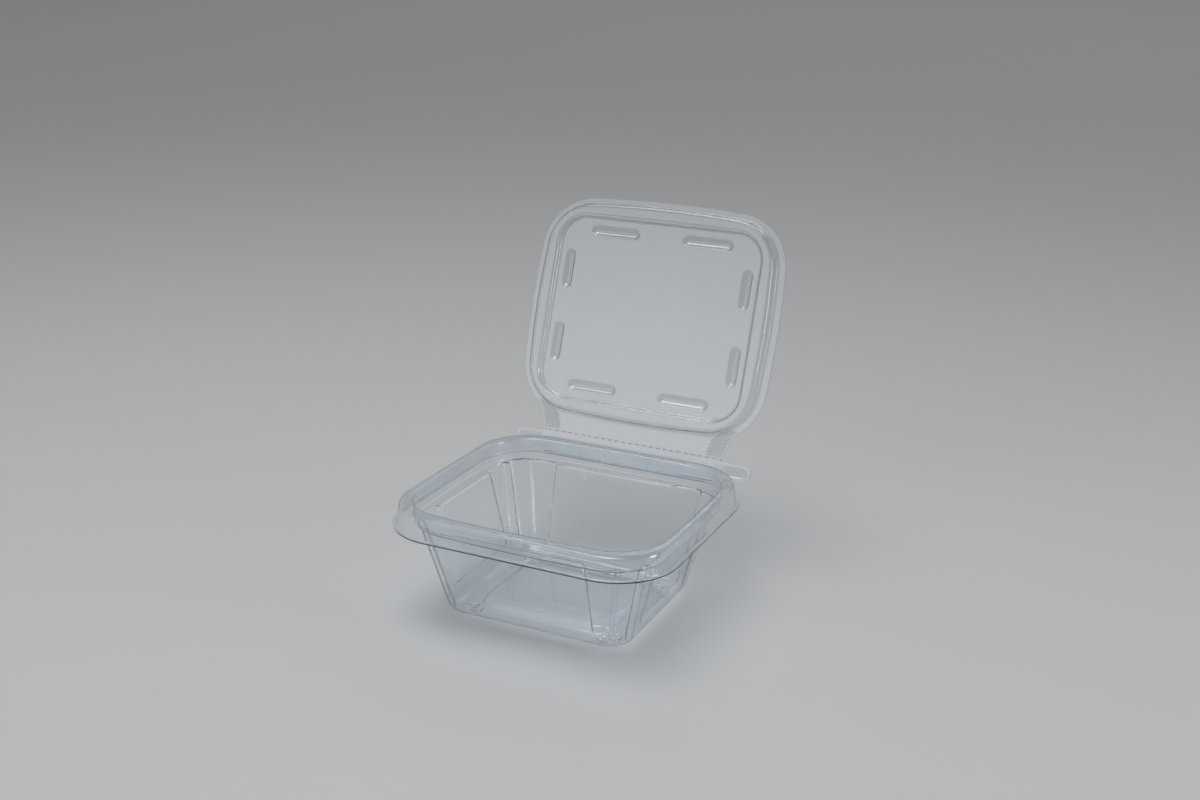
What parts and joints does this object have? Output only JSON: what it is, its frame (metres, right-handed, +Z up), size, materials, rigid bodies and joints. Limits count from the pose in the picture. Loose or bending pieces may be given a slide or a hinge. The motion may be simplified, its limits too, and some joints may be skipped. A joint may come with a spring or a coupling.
{
  "type": "hinged plastic clamshell pack",
  "caption": "Clear hinged food pack: drafted tray with rim and ledge, plug-fit lid with stacking ribs on a foldable tear strip with pull tabs, shown open.",
  "frame": {"origin": "middle of the open pack's bounding box, on the surface that its feet stand on", "axes": "+X to the right, +Y towards the hinge, +Z up"},
  "size_m": [0.132, 0.164, 0.1637],
  "materials": {
    "clear_plastic": "clear gloss"
  },
  "bodies": {
    "base": {"base_tray": "clear_plastic"},
    "strip": {"tear_strip": "clear_plastic"},
    "lid": {"lid": "clear_plastic"}
  },
  "joints": [
    {"name": "strip_fold", "type": "hinge", "parent": "base", "child": "strip", "pos_m": [0, 0.03916, 0.045], "axis": [-1, 0, 0], "range_deg": [-19.81, 12.66]},
    {"name": "lid_fold", "type": "hinge", "parent": "strip", "child": "lid", "pos_m": [0, 0.04272, 0.0549], "axis": [-1, 0, 0], "range_deg": [-90, 57.5]}
  ],
  "couplings": [
    {"joint": "strip_fold", "follows": "lid_fold", "ratio": 0.22}
  ]
}
